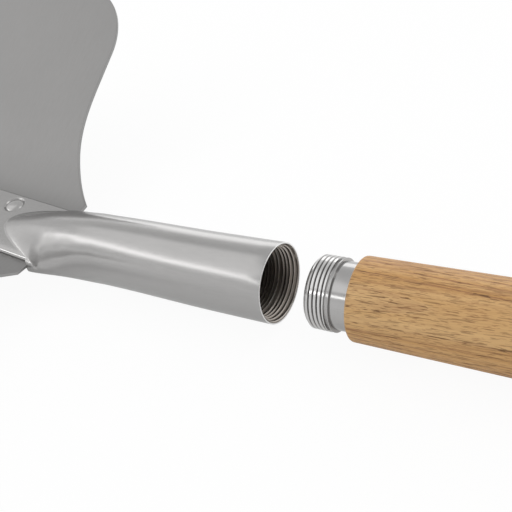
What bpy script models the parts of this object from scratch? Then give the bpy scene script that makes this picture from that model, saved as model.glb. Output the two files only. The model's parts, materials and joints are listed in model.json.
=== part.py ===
"""Garden spade with a screw-on wooden handle.

The head is a dished steel blade under a riveted tang, which is the flattened
end of a round socket tube. A threaded bush in the tube's mouth takes the
threaded ferrule on the handle. The handle is stored unscrewed, a short way
out of the socket, and slides along the tube's axis.

Axes: +X runs from the blade to the grip along the tube, +Z is the bowl side
of the blade. The origin is under the middle of the spade, on the ground.
A station is a distance from the mouth of the socket towards the blade's point.
"""
import math

import bmesh
import bpy
from mathutils import Matrix, Vector

# ---------------------------------------------------------------- sizes (m)
FIT_GAP = 0.0003                # clearance between pieces that touch

TUBE_DIAMETER = 0.030
TUBE_WALL = 0.0012
SHEET_THICKNESS = 0.0012

# stations along the head
RISE_START = 0.025              # the tube bends up a little from here
RISE_END = 0.074
CROWN_START = 0.078             # its top line starts to fall
PRESS_START = 0.080             # it starts to be pressed flat
BELLY_START = 0.0832            # its underside starts to close
RIDGE_START = 0.086             # its round top starts to turn into a ridge
SIDE_START = 0.092              # its sides start to be squarer
NECK_START = 0.104              # the ridge starts to be narrower than the tube
BASE_STATION = 0.117            # straight base edge of the blade
RIDGE_SHAPED = 0.120            # the ridge has its final section
CROWN_STRAIGHT = 0.1238         # its top line falls straight from here
RIDGE_TIP = 0.1434              # the raised ridge runs out on the tang
TANG_END = 0.222
TANG_HALF_WIDTH = 0.0168
TANG_ROUND = 0.016              # length of the tang's rounded end
HOLLOW_END = 0.106              # the hollow of the tube ends here

# the pressed tube
TUBE_RISE = 0.00083             # how far the tube bends up towards the blade
TUBE_NARROWING = 0.00019        # and how much slimmer it gets
BODY_HALF_WIDTH = 0.0191        # it is widest where it meets the base edge
BODY_LEVEL = -0.0011            # height of its widest line there
BODY_BOTTOM = -0.0054           # height of its underside there
BODY_ROUND = 0.0008             # it then closes over this length
CROWN_SLOPE = 0.17              # fall of the top line towards the tang
RIDGE_WIDENING = 0.0101         # square of the ridge's half-width over the distance to its tip

# blade
BASE_HALF_WIDTH = 0.02377
SHEET_RISE = 0.0015             # top of the sheet over the tube's axis, at its base edge
LIFT_SLOPE = 0.167              # the blade is lifted towards the bowl side
SHOULDER_STATION = 0.1423
SHOULDER_INNER = 0.0859         # half-width where the shoulder becomes straight
SHOULDER_SWEEP = 2.96           # how quickly it falls to the base edge
SHOULDER_OUTER = 0.1004         # half-width where the outer corner starts
CORNER_RADIUS = 0.0342
SIDE_END = 0.240                # the straight side ends, the point begins
POINT_STATION = 0.402
POINT_POWER = 1.6               # fullness of the rounded point
SIDE_POWER = 0.58               # how quickly the sides turn in towards the point
CURL_STATION = 0.235            # the blade curls up past the tang
CURL_RATE = 0.30                # rise per square metre of run past there
DISH_START = 0.0145             # half-width of the flat middle of the blade
DISH_RADIUS = 0.065
DISH_ANGLE = math.radians(27.2)  # slope of the raised sides

# rivets
RIVET_STATION = 0.1485
RIVET_SPREAD = 0.0095
REAR_RIVET_STATION = 0.204
RIVET_SHANK = 0.0048
RIVET_HEAD = 0.0084
RIVET_HEAD_DEPTH = 0.0014
DIMPLE_DEPTH = 0.0004           # the head sits this far below the tang's face

# threaded joint
THREAD_DIAMETER = 0.026
THREAD_DEPTH = 0.0011           # from crest to root
BUSH_LENGTH = 0.022
BUSH_LEAD_IN = 0.0011           # chamfer at the bush's mouth
FERRULE_OUT = 0.0153            # the unscrewed ferrule stands this far out of the mouth
THREAD_LENGTH = 0.0092
NECK_LENGTH = 0.0059
FERRULE_WALL = 0.0017
FERRULE_FLOOR = 0.0028
SCREW_SHANK = 0.0045
SCREW_HEAD = 0.0088
SCREW_LENGTH = 0.036

# handle
SHAFT_DIAMETER = 0.0293
SHAFT_EDGE_ROUND = 0.0009
GRIP_STATION = 0.612            # the crossbar's axis, beyond the mouth
GRIP_DIAMETER = 0.034
GRIP_END_DIAMETER = 0.0275
GRIP_LENGTH = 0.118
GRIP_END_ROUND = 0.006
MORTISE_DEPTH = 0.009           # past the crossbar's axis
SEAT_DEPTH = 0.0085             # the shaft's shoulder lies this far short of the axis
GRIP_TENON = 0.020
PIN_DIAMETER = 0.005

SEGMENTS = 48                   # facets round a turned piece
RING_POINTS = 48                # points round a section of the tube

# ------------------------------------------------------------ worked out
TUBE_RADIUS = TUBE_DIAMETER / 2
AXIS_Z = GRIP_DIAMETER / 2                      # the grip touches the ground
SHAFT_START = FERRULE_OUT + THREAD_LENGTH + NECK_LENGTH + FIT_GAP
MOUTH_X = (POINT_STATION - GRIP_STATION - GRIP_DIAMETER / 2) / 2
ROOT_RADIUS = THREAD_DIAMETER / 2 - THREAD_DEPTH
BUSH_BORE = ROOT_RADIUS + FIT_GAP
BUSH_RADIUS = TUBE_RADIUS - TUBE_WALL - FIT_GAP
TENON_RADIUS = ROOT_RADIUS - FERRULE_WALL - FIT_GAP
BLADE_HALF_WIDTH = SHOULDER_OUTER + CORNER_RADIUS
TANG_THICKNESS = 2 * TUBE_WALL


def world(along, across, up):
    """Point from its distance beyond the mouth, its side and its height over the axis."""
    return Vector((MOUTH_X + along, across, AXIS_Z + up))


# ------------------------------------------------------------ helpers
def smooth(value, low, high):
    """Ease from 0 at low to 1 at high."""
    share = min(1.0, max(0.0, (value - low) / (high - low)))
    return share * share * (3 - 2 * share)


def blend(first, second, share):
    return first + (second - first) * share


def material(name, colour, roughness, metallic):
    mat = bpy.data.materials.new(name)
    mat.use_nodes = True
    shader = mat.node_tree.nodes["Principled BSDF"]
    shader.inputs["Base Color"].default_value = (*colour, 1.0)
    shader.inputs["Roughness"].default_value = roughness
    shader.inputs["Metallic"].default_value = metallic
    return mat


def collection(name):
    group = bpy.data.collections.new(name)
    bpy.context.scene.collection.children.link(group)
    return group


def add_object(name, mesh, group, mat=None):
    obj = bpy.data.objects.new(name, mesh)
    group.objects.link(obj)
    if mat is not None:
        mesh.materials.append(mat)
    return obj


def mesh_from(bm, name):
    mesh = bpy.data.meshes.new(name)
    bm.to_mesh(mesh)
    bm.free()
    return mesh


def smooth_shade(mesh, angle=35):
    mesh.shade_smooth()
    mesh.set_sharp_from_angle(angle=math.radians(angle))


def turned(name, profile, group, mat, matrix, segments=SEGMENTS):
    """Turn a profile of (radius, height) points, top to bottom, about local Z."""
    mesh = bpy.data.meshes.new(name)
    points = [(radius, 0.0, height) for radius, height in profile]
    edges = [(i, i + 1) for i in range(len(points) - 1)]
    mesh.from_pydata(points, edges, [])
    obj = add_object(name, mesh, group, mat)
    screw = obj.modifiers.new("Turn", "SCREW")
    screw.axis = "Z"
    screw.steps = segments
    screw.render_steps = segments
    screw.use_merge_vertices = True
    screw.merge_threshold = 0.00005
    obj.matrix_world = matrix
    return obj


def arc(centre, radius, start, end, count):
    """Points of an arc, angles in degrees."""
    points = []
    for i in range(count + 1):
        angle = math.radians(start + (end - start) * i / count)
        points.append((centre[0] + radius * math.cos(angle), centre[1] + radius * math.sin(angle)))
    return points


def cut(obj, cutter):
    """Cut one object with another, both kept."""
    modifier = obj.modifiers.new("Cut " + cutter.name, "BOOLEAN")
    modifier.operation = "DIFFERENCE"
    modifier.solver = "EXACT"
    modifier.object = cutter


def cutter_rod(name, group, radius, length, matrix, segments=24):
    """A cylinder for cutting, centred on its matrix with its axis along local Z."""
    bm = bmesh.new()
    bmesh.ops.create_cone(bm, cap_ends=True, segments=segments, radius1=radius, radius2=radius, depth=length)
    obj = add_object(name, mesh_from(bm, name), group)
    obj.matrix_world = matrix
    obj.hide_render = True
    obj.display_type = "WIRE"
    return obj


# local Z of a turned piece points along +X of the spade
ALONG_X = Matrix.Rotation(math.radians(90), 4, "Y")
ALONG_Y = Matrix.Rotation(math.radians(-90), 4, "X")


def on_axis(along):
    return Matrix.Translation(world(along, 0, 0)) @ ALONG_X


# ------------------------------------------------------------ blade surface
def spine_height(station):
    """Top face of the blade on its middle line, over the tube's axis."""
    curl = max(0.0, station - CURL_STATION)
    return SHEET_RISE + LIFT_SLOPE * (station - BASE_STATION) + CURL_RATE * curl * curl


def dish_height(side):
    """How far the sheet has risen at this half-width: flat, then an arc, then straight."""
    run = abs(side) - DISH_START
    if run <= 0:
        return 0.0
    arc_run = DISH_RADIUS * math.sin(DISH_ANGLE)
    if run < arc_run:
        return DISH_RADIUS - math.sqrt(DISH_RADIUS ** 2 - run ** 2)
    return DISH_RADIUS * (1 - math.cos(DISH_ANGLE)) + math.tan(DISH_ANGLE) * (run - arc_run)


def top_station(side):
    """Upper outline of the blade: base edge, swept fillet, shoulder, round corner."""
    if side <= BASE_HALF_WIDTH:
        return BASE_STATION
    if side <= SHOULDER_INNER:
        left = (SHOULDER_INNER - side) / (SHOULDER_INNER - BASE_HALF_WIDTH)
        return SHOULDER_STATION - (SHOULDER_STATION - BASE_STATION) * left ** SHOULDER_SWEEP
    if side <= SHOULDER_OUTER:
        return SHOULDER_STATION
    run = min(side - SHOULDER_OUTER, CORNER_RADIUS)
    return SHOULDER_STATION + CORNER_RADIUS - math.sqrt(CORNER_RADIUS ** 2 - run ** 2)


def point_station(side):
    """Lower outline of the blade: a rounded point."""
    share = min(1.0, side / BLADE_HALF_WIDTH)
    return SIDE_END + (POINT_STATION - SIDE_END) * (1 - share ** POINT_POWER) ** SIDE_POWER


def blade_columns():
    """Half-widths of the columns of the blade's grid, closer where the outline turns."""
    columns = [BASE_HALF_WIDTH * i / 4 for i in range(4)]
    columns += [BASE_HALF_WIDTH + (SHOULDER_INNER - BASE_HALF_WIDTH) * i / 9 for i in range(9)]
    columns += [SHOULDER_INNER + (SHOULDER_OUTER - SHOULDER_INNER) * i / 4 for i in range(4)]
    columns += [SHOULDER_OUTER + CORNER_RADIUS * math.sin(math.pi / 2 * i / 9) for i in range(10)]
    return columns


def make_blade(group, mat):
    """Half of the top face as a grid of columns, mirrored, then given its thickness."""
    rows = 16
    bm = bmesh.new()
    grid = []
    for side in blade_columns():
        start, end = top_station(side), point_station(side)
        column = []
        for i in range(rows + 1):
            station = start + (end - start) * i / rows
            column.append(bm.verts.new(world(-station, side, spine_height(station) + dish_height(side))))
        grid.append(column)
    for left, right in zip(grid, grid[1:]):
        for i in range(rows):
            bm.faces.new((left[i], right[i], right[i + 1], left[i + 1]))
    bmesh.ops.recalc_face_normals(bm, faces=bm.faces)
    if bm.faces[0].normal.z < 0:
        bmesh.ops.reverse_faces(bm, faces=bm.faces)
    obj = add_object("blade", mesh_from(bm, "blade"), group, mat)
    mirror = obj.modifiers.new("Mirror", "MIRROR")
    mirror.use_axis = (False, True, False)
    mirror.use_clip = True
    mirror.merge_threshold = 0.00005
    shell = obj.modifiers.new("Sheet", "SOLIDIFY")
    shell.thickness = SHEET_THICKNESS
    shell.offset = -1
    shell.use_even_offset = True
    return obj


# ------------------------------------------------------------ socket tube
def tang_bottom(station):
    return spine_height(station) + FIT_GAP


def body_end():
    """The pressed tube stops just short of the blade's base edge."""
    return BASE_STATION - FIT_GAP


def crown_height(station):
    """Top line of the tube: level, then an even bend, then a straight fall to the tang."""
    length = CROWN_STRAIGHT - CROWN_START
    bent = min(1.0, max(0.0, (station - CROWN_START) / length))
    fall = CROWN_SLOPE * (length * bent * bent / 2 + max(0.0, station - CROWN_STRAIGHT))
    return TUBE_RADIUS + TUBE_RISE * smooth(station, RISE_START, RISE_END) - fall


def tube_section(station):
    """Half-width, side level, flange, ridge, belly, ridge half-width and squareness of the sides."""
    rise = TUBE_RISE * smooth(station, RISE_START, RISE_END)
    pressed = smooth(station, PRESS_START, BASE_STATION)
    sunk = smooth(station, BELLY_START, body_end())
    top = tang_bottom(station) + TANG_THICKNESS
    half_width = blend(TUBE_RADIUS, BODY_HALF_WIDTH, pressed)
    level = blend(rise, BODY_LEVEL, pressed)
    flange = (top - level) * pressed
    ridge = max(0.0, crown_height(station) - level - flange)
    belly = blend(TUBE_RADIUS - rise + level, level - BODY_BOTTOM, sunk)
    narrowing = TUBE_NARROWING * smooth(station, 0.015, 0.075) * (1 - smooth(station, 0.095, BASE_STATION))
    scale = 1 - narrowing / TUBE_RADIUS
    # past the base edge the body closes quickly onto the flat tang
    closed = min(1.0, max(0.0, (station - body_end()) / BODY_ROUND + 1))
    shut = 1 - math.sqrt(1 - closed ** 2)
    half_width = blend(half_width * scale, TANG_HALF_WIDTH, shut)
    level = blend(level, top - TUBE_WALL, shut)
    flange = blend(flange, TUBE_WALL, shut)
    belly *= (1 - shut) * scale
    tongue = math.sqrt(RIDGE_WIDENING * max(0.000001, RIDGE_TIP - station))
    ridge_half = blend(half_width, min(tongue, half_width), smooth(station, NECK_START, BASE_STATION))
    side_power = blend(blend(2.0, 9.0, smooth(station, SIDE_START, BASE_STATION)), 30.0, shut)
    return half_width, level, flange, ridge * scale, belly, ridge_half, side_power


def section_ring(station, inset):
    """Points round the tube at a station, measured from the mouth. Inset gives the hollow."""
    half_width, level, flange, ridge, belly, ridge_half, side_power = tube_section(station)
    ridge_power = blend(0.5, 1.0, smooth(station, RIDGE_START, RIDGE_SHAPED))
    end_run = (station - (TANG_END - TANG_ROUND)) / TANG_ROUND
    if end_run > 0:
        half_width *= math.sqrt(max(0.0, 1 - end_run ** 2))
    across_scale = (half_width - inset) / half_width if inset else 1.0
    up_scale = (flange + ridge - inset) / (flange + ridge) if inset else 1.0
    down_scale = (belly - inset) / belly if inset else 1.0
    points = []
    for i in range(RING_POINTS):
        angle = 2 * math.pi * i / RING_POINTS
        share = math.cos(angle)
        across = half_width * share
        edge = (1 - abs(share) ** side_power) ** 0.5
        if math.sin(angle) >= 0:
            inside = max(0.0, 1 - (across / ridge_half) ** 2)
            up = (flange * edge + ridge * inside ** ridge_power) * up_scale
        elif station < body_end():
            round_side = belly * math.sqrt(max(0.0, 1 - share * share))
            up = -blend(TUBE_WALL * edge, round_side, min(1.0, belly / 0.004)) * down_scale
        else:
            up = -flange * edge
        points.append(Vector((-station, across * across_scale, level + up)))
    return points


def tube_stations():
    """Closer together where the section changes quickly."""
    close_start = body_end() - BODY_ROUND
    stations = [0.0, RISE_START]
    stations += [RISE_START + (PRESS_START - RISE_START) * i / 3 for i in range(1, 4)]
    stations += [PRESS_START + (close_start - PRESS_START) * i / 14 for i in range(1, 14)]
    stations += [close_start + BODY_ROUND * math.sin(math.pi / 2 * i / 4) for i in range(5)]
    stations += [BASE_STATION + (RIDGE_TIP - BASE_STATION) * i / 8 for i in range(1, 8)]
    stations += [RIDGE_TIP - 0.0008, RIDGE_TIP, 0.156, 0.178, TANG_END - TANG_ROUND]
    stations += [TANG_END - TANG_ROUND + TANG_ROUND * math.sin(math.pi / 2 * i / 6) for i in range(1, 6)]
    stations += [TANG_END - 0.0001]
    return stations


def make_socket_tube(group, mat):
    """Loft from the tang's end to the mouth outside, and back down the hollow inside."""
    outer = [section_ring(station, 0.0) for station in reversed(tube_stations())]
    inner_stations = [s for s in tube_stations() if s < HOLLOW_END] + [HOLLOW_END]
    inner = [section_ring(station, TUBE_WALL) for station in inner_stations]
    bm = bmesh.new()
    rings = [[bm.verts.new(point) for point in ring] for ring in outer + inner]
    for first, second in zip(rings, rings[1:]):
        for i in range(RING_POINTS):
            j = (i + 1) % RING_POINTS
            bm.faces.new((first[i], first[j], second[j], second[i]))
    for ring in (rings[0], rings[-1]):
        bm.faces.new(ring)
    bmesh.ops.recalc_face_normals(bm, faces=bm.faces)
    mesh = mesh_from(bm, "socket_tube")
    smooth_shade(mesh)
    tube = add_object("socket_tube", mesh, group, mat)
    tube.location = world(0.0, 0.0, 0.0)
    return tube


# ------------------------------------------------------------ rivets
def rivet_matrix(station, across):
    """Local Z stands square on the tang's top face."""
    tilt = Matrix.Rotation(math.atan(LIFT_SLOPE), 4, "Y")
    height = tang_bottom(station) + TANG_THICKNESS
    return Matrix.Translation(world(-station, across, height)) @ tilt


def make_rivet(name, station, across, tube, blade, parts, cutters, mat):
    """A countersunk rivet in a dimple of the tang, with a low button under the blade."""
    shank = RIVET_SHANK / 2
    head = RIVET_HEAD / 2
    grip = (TANG_THICKNESS + FIT_GAP + SHEET_THICKNESS) / math.cos(math.atan(LIFT_SLOPE))
    under = -(grip + FIT_GAP)
    top = -DIMPLE_DEPTH
    profile = [(0.0, top - 0.0004), (head * 0.55, top - 0.0003), (head * 0.9, top), (head, top - 0.0001)]
    profile += [(shank, top - RIVET_HEAD_DEPTH), (shank, under), (head * 0.95, under)]
    profile += [(head * 0.8, under - 0.0007), (head * 0.45, under - 0.0011), (0.0, under - 0.0012)]
    matrix = rivet_matrix(station, across)
    rivet = turned(name, profile, parts, mat, matrix, segments=24)

    hole = shank + FIT_GAP
    seat = head + FIT_GAP * 1.4
    reach = 0.008
    profile = [(0.0, 0.002), (seat + 0.0004, 0.002), (seat + 0.0004, 0.0), (seat, top - 0.0001)]
    profile += [(hole, top - RIVET_HEAD_DEPTH - FIT_GAP * 0.6), (hole, -reach), (0.0, -reach)]
    cutter = turned(name + "_hole", profile, cutters, None, matrix, segments=24)
    cutter.hide_render = True
    cutter.display_type = "WIRE"
    cut(tube, cutter)
    cut(blade, cutter)
    return rivet


# ------------------------------------------------------------ threaded joint
def make_bush(group, mat):
    """Sleeve just inside the mouth, bored to the thread's inner diameter."""
    front = -FIT_GAP
    back = front - BUSH_LENGTH
    mouth = BUSH_BORE + BUSH_LEAD_IN
    profile = [(BUSH_BORE, back), (BUSH_BORE, front - BUSH_LEAD_IN), (mouth, front)]
    profile += [(BUSH_RADIUS, front), (BUSH_RADIUS, back), (BUSH_BORE, back)]
    return turned("threaded_bush", profile, group, mat, on_axis(0))


def make_ferrule(group, mat):
    """Cup on the shaft's tenon. The thread's ridge stands on its outside."""
    end, rim = FERRULE_OUT, FERRULE_OUT + THREAD_LENGTH + NECK_LENGTH
    bore = ROOT_RADIUS - FERRULE_WALL
    hole = SCREW_SHANK / 2 + FIT_GAP
    sink = SCREW_HEAD / 2 + 2 * FIT_GAP
    sink_depth = sink - hole
    profile = [(bore, rim), (ROOT_RADIUS, rim), (ROOT_RADIUS, end + 0.0006), (ROOT_RADIUS - 0.0006, end)]
    profile += [(sink, end), (hole, end + sink_depth), (hole, end + FERRULE_FLOOR)]
    profile += [(bore, end + FERRULE_FLOOR), (bore, rim)]
    return turned("threaded_ferrule", profile, group, mat, on_axis(0))


def make_tenon_screw(group, mat):
    """Countersunk wood screw through the ferrule's floor into the tenon."""
    start = FERRULE_OUT + FIT_GAP
    shank = SCREW_SHANK / 2
    head = SCREW_HEAD / 2
    tip = start + SCREW_LENGTH
    profile = [(0.0, tip), (shank * 0.5, tip - 0.004), (shank, tip - 0.008)]
    profile += [(shank, start + head - shank), (head, start), (0.0, start)]
    return turned("tenon_screw", profile, group, mat, on_axis(0), segments=24)


# ------------------------------------------------------------ handle
def make_shaft(group, mat):
    """Round shaft with a tenon in the ferrule, a pilot hole, and a tenon in the grip."""
    radius = SHAFT_DIAMETER / 2
    front = FERRULE_OUT + FERRULE_FLOOR + FIT_GAP
    shoulder = GRIP_STATION - SEAT_DEPTH - FIT_GAP
    end = GRIP_STATION + MORTISE_DEPTH - FIT_GAP
    pilot = SCREW_SHANK / 2 + FIT_GAP
    pilot_end = FERRULE_OUT + SCREW_LENGTH + 2 * FIT_GAP
    tenon = GRIP_TENON / 2
    profile = [(0.0, end), (tenon - 0.0008, end), (tenon, end - 0.0008), (tenon, shoulder), (radius, shoulder)]
    centre = (radius - SHAFT_EDGE_ROUND, SHAFT_START + SHAFT_EDGE_ROUND)
    profile += arc(centre, SHAFT_EDGE_ROUND, 0, -90, 4)
    profile += [(TENON_RADIUS, SHAFT_START), (TENON_RADIUS, front + 0.0005), (TENON_RADIUS - 0.0005, front)]
    profile += [(pilot, front), (pilot, pilot_end), (0.0, pilot_end)]
    return turned("wooden_shaft", profile, group, mat, on_axis(0))


def make_grip(parts, cutters, mat):
    """Barrel-shaped crossbar with a stepped mortise for the shaft."""
    half = GRIP_LENGTH / 2
    middle, end = GRIP_DIAMETER / 2, GRIP_END_DIAMETER / 2
    flat = half - GRIP_END_ROUND
    profile = [(0.0, half)]
    profile += [(end - GRIP_END_ROUND * (1 - math.sin(math.pi / 2 * i / 5)),
                 flat + GRIP_END_ROUND * math.cos(math.pi / 2 * i / 5)) for i in range(5)]
    steps = 14
    for i in range(steps + 1):
        y = flat * (1 - 2 * i / steps)
        profile.append((end + (middle - end) * (1 - abs(y / flat) ** 2.2), y))
    profile += [(radius, -y) for radius, y in reversed(profile[:6])]
    grip = turned("crossbar_grip", profile, parts, mat,
                  Matrix.Translation(world(GRIP_STATION, 0, 0)) @ ALONG_Y)
    seat_length = GRIP_DIAMETER
    seat_centre = GRIP_STATION - SEAT_DEPTH - seat_length / 2
    seat = cutter_rod("grip_seat", cutters, SHAFT_DIAMETER / 2 + FIT_GAP, seat_length,
                      on_axis(seat_centre), SEGMENTS)
    hole_length = GRIP_DIAMETER
    hole_centre = GRIP_STATION + MORTISE_DEPTH - hole_length / 2
    hole = cutter_rod("grip_mortise", cutters, GRIP_TENON / 2 + FIT_GAP, hole_length,
                      on_axis(hole_centre), SEGMENTS)
    cut(grip, seat)
    cut(grip, hole)
    return grip


def make_pin(grip, shaft, parts, cutters, mat):
    """Pin across the joint of grip and shaft, a little short of the grip's surface."""
    half = GRIP_DIAMETER / 2 - 0.0006
    radius = PIN_DIAMETER / 2
    profile = [(0.0, half), (radius - 0.0005, half), (radius, half - 0.0005)]
    profile += [(r, -z) for r, z in reversed(profile)]
    place = Matrix.Translation(world(GRIP_STATION, 0, 0))
    pin = turned("grip_pin", profile, parts, mat, place, segments=24)
    hole = cutter_rod("pin_hole", cutters, radius + FIT_GAP, GRIP_DIAMETER * 1.4, place)
    cut(grip, hole)
    cut(shaft, hole)
    return pin


# ------------------------------------------------------------ assembly
def build():
    for obj in list(bpy.data.objects):
        bpy.data.objects.remove(obj)
    parts = collection("garden_spade")
    cutters = collection("cutters")
    satin_steel = material("satin_steel", (0.42, 0.42, 0.41), 0.36, 1.0)
    bright_steel = material("bright_steel", (0.55, 0.55, 0.54), 0.24, 1.0)
    hardwood = material("pale_hardwood", (0.50, 0.31, 0.15), 0.55, 0.0)

    blade = make_blade(parts, satin_steel)
    tube = make_socket_tube(parts, satin_steel)
    rivets = [("tang_rivet_left", RIVET_STATION, -RIVET_SPREAD),
              ("tang_rivet_right", RIVET_STATION, RIVET_SPREAD),
              ("tang_rivet_rear", REAR_RIVET_STATION, 0.0)]
    for name, station, across in rivets:
        make_rivet(name, station, across, tube, blade, parts, cutters, bright_steel)
    make_bush(parts, bright_steel)

    handle = bpy.data.objects.new("handle_slide", None)
    parts.objects.link(handle)
    handle.matrix_world = Matrix.Translation(world(0, 0, 0))
    shaft = make_shaft(parts, hardwood)
    grip = make_grip(parts, cutters, hardwood)
    moving = [make_ferrule(parts, bright_steel), make_tenon_screw(parts, bright_steel), shaft, grip]
    moving.append(make_pin(grip, shaft, parts, cutters, bright_steel))
    for obj in moving:
        place = obj.matrix_world.copy()
        obj.parent = handle
        obj.matrix_world = place
    for obj in [o for o in parts.objects if o.type == "MESH"]:
        smooth_shade(obj.data)


build()
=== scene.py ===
"""Looks of a garden spade whose wooden handle is unscrewed from its socket.

Run as a script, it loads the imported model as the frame, builds each finished
piece round it, lights it on a pale floor and sets the camera. It is laid out
as an add-on, so the pieces can also be built one by one from the sidebar.
"""

import json
import math

import bmesh
import bpy
from bpy.props import FloatProperty, FloatVectorProperty, IntProperty, PointerProperty
from bpy.types import Operator, Panel, PropertyGroup
from mathutils import Matrix, Vector


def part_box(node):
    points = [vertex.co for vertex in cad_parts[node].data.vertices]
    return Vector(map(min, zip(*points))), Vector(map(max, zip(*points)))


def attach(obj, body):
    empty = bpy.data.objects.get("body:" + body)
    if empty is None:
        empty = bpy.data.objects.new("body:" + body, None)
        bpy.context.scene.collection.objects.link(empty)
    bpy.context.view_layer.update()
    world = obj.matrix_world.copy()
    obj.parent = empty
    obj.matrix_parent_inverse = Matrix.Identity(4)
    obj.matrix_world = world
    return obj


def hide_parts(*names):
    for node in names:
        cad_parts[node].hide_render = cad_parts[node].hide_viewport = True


bl_info = {
    "name": "Garden Spade",
    "version": (1, 0, 0),
    "blender": (4, 5, 0),
    "location": "3D View > Sidebar > Spade",
    "description": "Builds the finished pieces of a garden spade round its packed model",
    "category": "Add Mesh",
}

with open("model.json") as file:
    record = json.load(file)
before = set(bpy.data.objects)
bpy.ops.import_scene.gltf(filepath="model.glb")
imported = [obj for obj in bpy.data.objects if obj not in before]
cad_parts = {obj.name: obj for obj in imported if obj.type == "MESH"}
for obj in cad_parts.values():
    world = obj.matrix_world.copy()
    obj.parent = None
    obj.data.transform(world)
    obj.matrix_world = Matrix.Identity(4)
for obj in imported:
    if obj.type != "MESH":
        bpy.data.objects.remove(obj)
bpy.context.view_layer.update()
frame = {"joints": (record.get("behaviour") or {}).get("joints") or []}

# ------------------------------------------------------------ the frame
MOUTH_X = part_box("socket_tube")[1][0]
AXIS_Z = (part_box("wooden_shaft")[0][2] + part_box("wooden_shaft")[1][2]) / 2
GRIP_ALONG = (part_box("crossbar_grip")[0][0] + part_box("crossbar_grip")[1][0]) / 2 - MOUTH_X
SEATED_TRAVEL = frame["joints"][0]["range_m"][0]    # the slide's value with the handle screwed home

# ------------------------------------------------------------ sizes (m)
TOUCH = 0.00002                 # pieces that touch are left this far apart
FIT_GAP = 0.0003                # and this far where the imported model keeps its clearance
TINY = 1e-6                     # lengths below this count as nothing

# stations along the head, measured from the mouth towards the point
NARROW_START, NARROW_END, NARROW_FADE = 0.015, 0.075, 0.095     # the tube is slimmer in between
RISE_START, RISE_END = 0.025, 0.074                 # the tube bends up
CROWN_START, CROWN_STRAIGHT = 0.0780, 0.1238        # its top line bends down, then is straight
PRESS_START = 0.0800            # its sides start to be pressed out
BELLY_START = 0.0832            # its underside starts to be pressed flat
RIDGE_START, RIDGE_SHAPED = 0.086, 0.120            # its round top turns into a ridge
SIDE_START = 0.092              # its sides start to be squarer
KEEN_START, KEEN_END = 0.100, 0.128                 # the ridge turns keener
NECK_START = 0.102              # the ridge starts to be narrower than the tube
HOLLOW_END = 0.106              # the tube is solid from here on
BASE_STATION = 0.117            # the blade's base edge
BODY_END = 0.1179               # the open body ends, the flat tang goes on
SHOULDER_STATION = 0.1423       # the blade's straight shoulders
RIDGE_TIP = 0.1434              # the ridge runs out on the tang
TANG_END = 0.222
CURL_STATION = 0.235            # the blade starts to curl up towards its point
SIDE_END = 0.240                # its sides start to turn in
POINT_STATION = 0.402

# the pressed tube
TUBE_RADIUS = 0.015
TUBE_RISE = 0.00083             # the tube bends up this much towards the blade
TUBE_NARROWING = 0.00019        # and gets this much slimmer
BODY_HALF_WIDTH = 0.0191        # it is widest where it meets the base edge
BODY_LEVEL = -0.0011            # height of its widest line there
BODY_BOTTOM = -0.0054           # height of its underside there
BODY_ROUND = 0.0008             # it then closes over this length
BELLY_ROUND = 0.004             # its underside is round while it hangs lower than this
CROWN_SLOPE = 0.17              # fall of the top line towards the tang
RIDGE_WIDENING = 0.0101         # square of the ridge's half-width over the distance to its tip
TANG_HALF_WIDTH = 0.0168
TANG_ROUND = 0.016              # length of the tang's rounded end
ROUND_SIDE, BOX_SIDE, TANG_SIDE, TANG_UNDERSIDE = 2.0, 12.0, 18.0, 60.0      # how square the sides are
ROUND_TOP, RIDGE_TOP, KEEN_TOP = 0.5, 1.0, 1.35     # how keen the top is
DIMPLE_WALL = 0.0016            # width of a dimple's sloping wall
SEAM_DEPTH = 0.00028            # groove between the two pressed layers along the tang's edge
SEAM_FLOOR, SEAM_LIP = 0.00006, 0.00030             # half its height at its bottom and where it opens
MOUTH_WALL = 0.0005             # the tube is opened to this wall at its mouth
MOUTH_DEPTH = 0.0034
MOUTH_BEVEL = 0.0005            # slope between the two walls
MOUTH_LIP = 0.00012             # rounding of the rim

# the blade
BASE_HALF_WIDTH = 0.02377       # of its straight base edge
SHEET_RISE = 0.0015             # top of the sheet over the tube's axis, at its base edge
LIFT_SLOPE = 0.167              # the blade is lifted towards the bowl side
SHOULDER_INNER = 0.0859         # half-width where the shoulder becomes straight
SHOULDER_OUTER = 0.1004         # half-width where the outer corner starts
SHOULDER_SWEEP = 2.96           # how quickly the shoulder falls to the base edge
CORNER_RADIUS = 0.0342
BLADE_HALF_WIDTH = SHOULDER_OUTER + CORNER_RADIUS
POINT_POWER = 1.6               # fullness of the rounded point
SIDE_POWER = 0.58               # how quickly the sides turn in towards the point
CURL_RATE = 0.30                # rise over the square of the run past the curl's start
DISH_START = 0.0145             # half-width of the flat middle of the blade
DISH_RADIUS = 0.065
DISH_ANGLE = math.radians(27.2)  # slope of the raised sides
RIVETS = {"tang_rivet_left": (0.1485, -0.0095), "tang_rivet_right": (0.1485, 0.0095),
          "tang_rivet_rear": (0.204, 0.0)}

# the bush in the mouth
BUSH_BACK = -0.0223
BUSH_FRONT = -FIT_GAP
BUSH_BORE = 0.0122              # radius of the female thread's crest
THREAD_PLAY = 0.00012           # its root is wider than the male crest by this much
BUSH_OPEN = 0.0068              # it is shallower and wider down to here, to pass the ferrule's ring
BUSH_WIDENING = 0.0005          # it is wider by this much there
MOUTH_FLARE = 0.00062           # and by this much more at the mouth

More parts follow.
